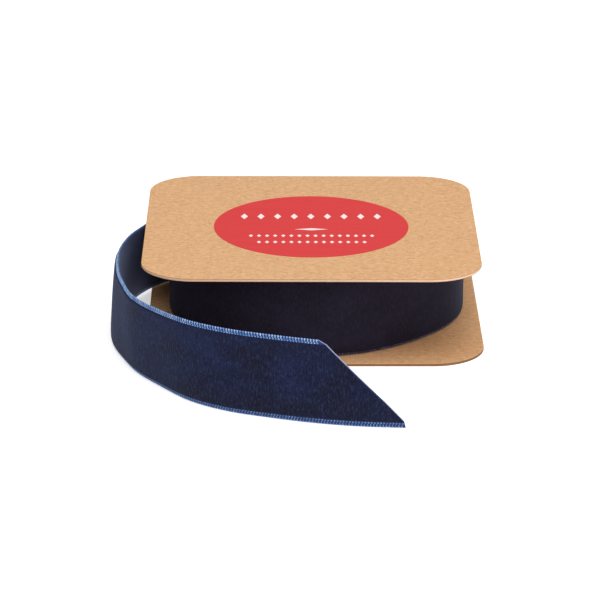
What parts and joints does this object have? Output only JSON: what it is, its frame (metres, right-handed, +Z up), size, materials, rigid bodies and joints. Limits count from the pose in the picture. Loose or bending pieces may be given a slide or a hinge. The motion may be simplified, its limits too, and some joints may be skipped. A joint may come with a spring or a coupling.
{
  "type": "card of velvet ribbon",
  "caption": "Velvet ribbon wound in a flat roll between square kraft boards, with a round paper label and a loose end that stands on its edge in front.",
  "frame": {"origin": "middle of the lower board's underside, on the surface that the part lies on", "axes": "+Z up through the boards, +Y away from the side where the loose end stands, +X to the right seen from that side"},
  "size_m": [0.101, 0.1356, 0.025],
  "materials": {
    "kraft_board": "matt, finely mottled brown board",
    "velvet": "navy velvet pile with lighter blue woven edges",
    "label_paper": "plain red paper, softly satin"
  },
  "bodies": {
    "root": {"bottom_card": "kraft_board", "ribbon_roll": "velvet", "ribbon_tail": "velvet", "top_card": "kraft_board", "label": "label_paper"}
  },
  "joints": []
}
